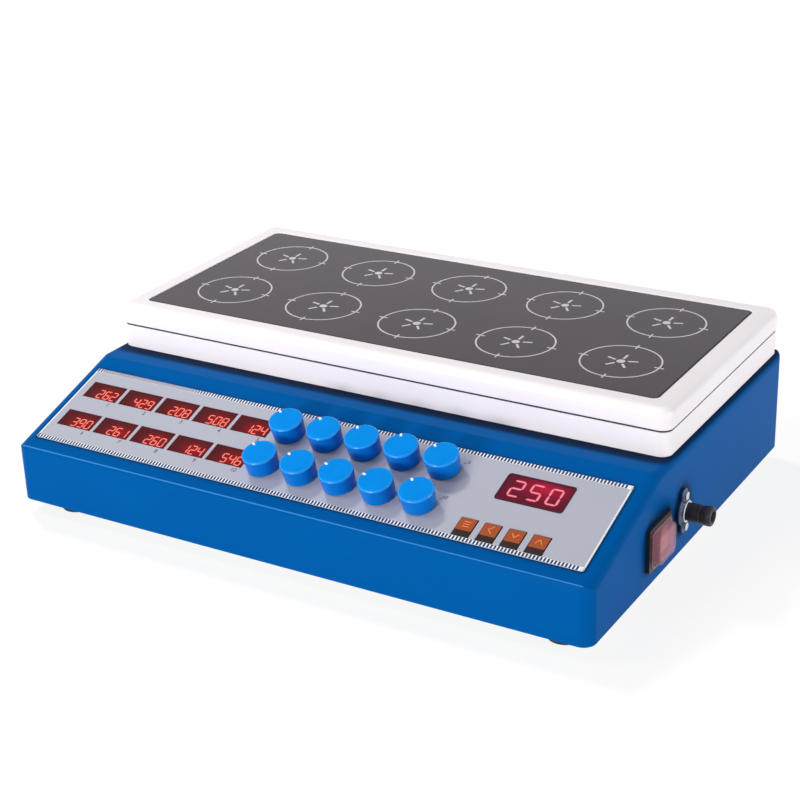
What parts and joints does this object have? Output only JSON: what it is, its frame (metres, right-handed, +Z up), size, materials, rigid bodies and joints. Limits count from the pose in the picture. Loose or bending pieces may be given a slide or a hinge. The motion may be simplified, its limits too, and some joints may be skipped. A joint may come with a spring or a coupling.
{
  "type": "multi-position hotplate stirrer",
  "caption": "Wide bench hotplate stirrer with a dark glass top over rows of magnetic stirring places and a sloping panel of displays, knobs and keys.",
  "frame": {"origin": "on the bench plane, under the middle of the housing", "axes": "+X to the right seen from the control panel, +Y to the back, +Z up"},
  "size_m": [0.4822, 0.3408, 0.1224],
  "materials": {
    "blue_paint": "satin powder coat",
    "zinc_sheet": "zinc plated",
    "screw_steel": "plated",
    "black_rubber": "matte",
    "brass": "plain",
    "overlay_print": "printed film",
    "red_filter": "dark red filter",
    "black_plastic": "fine grain",
    "circuit_board": "solder mask",
    "plated_metal": "nickel plated",
    "white_coat": "smooth white coat",
    "dark_glass": "polished glass ceramic",
    "heater_aluminium": "plain",
    "insulation": "fibre board",
    "red_plastic": "polished",
    "clear_boot": "clear soft vinyl",
    "core_steel": "varnished core",
    "azure_plastic": "moulded",
    "orange_key": "satin"
  },
  "bodies": {
    "unit": {"housing_shell": "blue_paint", "base_plate": "zinc_sheet", "case_screws": "screw_steel", "rubber_feet": "black_rubber", "foot_screws": "screw_steel", "hex_standoffs": "brass", "panel_overlay": "overlay_print", "display_windows": "red_filter", "temperature_window": "red_filter", "display_modules": "black_plastic", "control_board": "circuit_board", "potentiometers": "zinc_sheet", "potentiometer_nuts": "plated_metal", "motor_plate": "zinc_sheet", "stir_motors": "zinc_sheet", "motor_screws": "screw_steel", "lower_tray": "white_coat", "tray_screws": "screw_steel", "tray_gasket": "black_rubber", "upper_frame": "white_coat", "glass_plate": "dark_glass", "glass_bead": "black_rubber", "heater_plate": "heater_aluminium", "insulation_board": "insulation", "temperature_sensor": "screw_steel", "switch_body": "black_plastic", "switch_boot": "clear_boot", "sensor_socket": "plated_metal", "mains_inlet": "black_plastic", "inlet_pins": "brass", "power_board": "circuit_board", "transformer": "core_steel"},
    "knob_1": {"knob_1": "azure_plastic"},
    "knob_2": {"knob_2": "azure_plastic"},
    "knob_3": {"knob_3": "azure_plastic"},
    "knob_4": {"knob_4": "azure_plastic"},
    "knob_5": {"knob_5": "azure_plastic"},
    "knob_6": {"knob_6": "azure_plastic"},
    "knob_7": {"knob_7": "azure_plastic"},
    "knob_8": {"knob_8": "azure_plastic"},
    "knob_9": {"knob_9": "azure_plastic"},
    "knob_10": {"knob_10": "azure_plastic"},
    "rotor_1": {"rotor_1": "heater_aluminium"},
    "rotor_2": {"rotor_2": "heater_aluminium"},
    "rotor_3": {"rotor_3": "heater_aluminium"},
    "rotor_4": {"rotor_4": "heater_aluminium"},
    "rotor_5": {"rotor_5": "heater_aluminium"},
    "rotor_6": {"rotor_6": "heater_aluminium"},
    "rotor_7": {"rotor_7": "heater_aluminium"},
    "rotor_8": {"rotor_8": "heater_aluminium"},
    "rotor_9": {"rotor_9": "heater_aluminium"},
    "rotor_10": {"rotor_10": "heater_aluminium"},
    "key_1": {"key_1": "orange_key"},
    "key_2": {"key_2": "orange_key"},
    "key_3": {"key_3": "orange_key"},
    "key_4": {"key_4": "orange_key"},
    "switch_rocker": {"switch_rocker": "red_plastic"},
    "sensor_plug": {"sensor_plug": "black_plastic"},
    "coupling_ring": {"coupling_ring": "black_plastic"}
  },
  "joints": [
    {"name": "knob_1_turn", "type": "hinge", "parent": "unit", "child": "knob_1", "pos_m": [-0.0325, -0.10178, 0.07642], "axis": [0, -0.3078, 0.9514], "range_deg": [-203, 97]},
    {"name": "knob_2_turn", "type": "hinge", "parent": "unit", "child": "knob_2", "pos_m": [-0.0015, -0.10178, 0.07642], "axis": [0, -0.3078, 0.9514], "range_deg": [-191, 109]},
    {"name": "knob_3_turn", "type": "hinge", "parent": "unit", "child": "knob_3", "pos_m": [0.0295, -0.10178, 0.07642], "axis": [0, -0.3078, 0.9514], "range_deg": [-195, 105]},
    {"name": "knob_4_turn", "type": "hinge", "parent": "unit", "child": "knob_4", "pos_m": [0.0605, -0.10178, 0.07642], "axis": [0, -0.3078, 0.9514], "range_deg": [-177, 123]},
    {"name": "knob_5_turn", "type": "hinge", "parent": "unit", "child": "knob_5", "pos_m": [0.0915, -0.10178, 0.07642], "axis": [0, -0.3078, 0.9514], "range_deg": [-201, 99]},
    {"name": "knob_6_turn", "type": "hinge", "parent": "unit", "child": "knob_6", "pos_m": [-0.0325, -0.13546, 0.06553], "axis": [0, -0.3078, 0.9514], "range_deg": [-203, 97]},
    {"name": "knob_7_turn", "type": "hinge", "parent": "unit", "child": "knob_7", "pos_m": [-0.0015, -0.13546, 0.06553], "axis": [0, -0.3078, 0.9514], "range_deg": [-212, 88]},
    {"name": "knob_8_turn", "type": "hinge", "parent": "unit", "child": "knob_8", "pos_m": [0.0295, -0.13546, 0.06553], "axis": [0, -0.3078, 0.9514], "range_deg": [-219, 81]},
    {"name": "knob_9_turn", "type": "hinge", "parent": "unit", "child": "knob_9", "pos_m": [0.0605, -0.13546, 0.06553], "axis": [0, -0.3078, 0.9514], "range_deg": [-226, 74]},
    {"name": "knob_10_turn", "type": "hinge", "parent": "unit", "child": "knob_10", "pos_m": [0.0915, -0.13546, 0.06553], "axis": [0, -0.3078, 0.9514], "range_deg": [-193, 107]},
    {"name": "rotor_1_spin", "type": "hinge", "parent": "unit", "child": "rotor_1", "pos_m": [-0.1632, 0.10225, 0.096], "axis": [0, 0, 1], "continuous": true},
    {"name": "rotor_2_spin", "type": "hinge", "parent": "unit", "child": "rotor_2", "pos_m": [-0.0816, 0.10225, 0.096], "axis": [0, 0, 1], "continuous": true},
    {"name": "rotor_3_spin", "type": "hinge", "parent": "unit", "child": "rotor_3", "pos_m": [0, 0.10225, 0.096], "axis": [0, 0, 1], "continuous": true},
    {"name": "rotor_4_spin", "type": "hinge", "parent": "unit", "child": "rotor_4", "pos_m": [0.0816, 0.10225, 0.096], "axis": [0, 0, 1], "continuous": true},
    {"name": "rotor_5_spin", "type": "hinge", "parent": "unit", "child": "rotor_5", "pos_m": [0.1632, 0.10225, 0.096], "axis": [0, 0, 1], "continuous": true},
    {"name": "rotor_6_spin", "type": "hinge", "parent": "unit", "child": "rotor_6", "pos_m": [-0.1632, 0.02175, 0.096], "axis": [0, 0, 1], "continuous": true},
    {"name": "rotor_7_spin", "type": "hinge", "parent": "unit", "child": "rotor_7", "pos_m": [-0.0816, 0.02175, 0.096], "axis": [0, 0, 1], "continuous": true},
    {"name": "rotor_8_spin", "type": "hinge", "parent": "unit", "child": "rotor_8", "pos_m": [0, 0.02175, 0.096], "axis": [0, 0, 1], "continuous": true},
    {"name": "rotor_9_spin", "type": "hinge", "parent": "unit", "child": "rotor_9", "pos_m": [0.0816, 0.02175, 0.096], "axis": [0, 0, 1], "continuous": true},
    {"name": "rotor_10_spin", "type": "hinge", "parent": "unit", "child": "rotor_10", "pos_m": [0.1632, 0.02175, 0.096], "axis": [0, 0, 1], "continuous": true},
    {"name": "key_1_press", "type": "slide", "parent": "unit", "child": "key_1", "axis": [0, 0.3078, -0.9514], "range_m": [0, 0.0005], "stiffness_N_per_m": 3000},
    {"name": "key_2_press", "type": "slide", "parent": "unit", "child": "key_2", "axis": [0, 0.3078, -0.9514], "range_m": [0, 0.0005], "stiffness_N_per_m": 3000},
    {"name": "key_3_press", "type": "slide", "parent": "unit", "child": "key_3", "axis": [0, 0.3078, -0.9514], "range_m": [0, 0.0005], "stiffness_N_per_m": 3000},
    {"name": "key_4_press", "type": "slide", "parent": "unit", "child": "key_4", "axis": [0, 0.3078, -0.9514], "range_m": [0, 0.0005], "stiffness_N_per_m": 3000},
    {"name": "rocker_tilt", "type": "hinge", "parent": "unit", "child": "switch_rocker", "pos_m": [0.229, -0.065, 0.039], "axis": [0, 0, -1], "range_deg": [0, 20]},
    {"name": "plug_pull", "type": "slide", "parent": "unit", "child": "sensor_plug", "axis": [1, 0, 0], "range_m": [0, 0.022]},
    {"name": "coupling_turn", "type": "hinge", "parent": "sensor_plug", "child": "coupling_ring", "pos_m": [0.24, -0.024, 0.043], "axis": [1, 0, 0], "continuous": true}
  ]
}
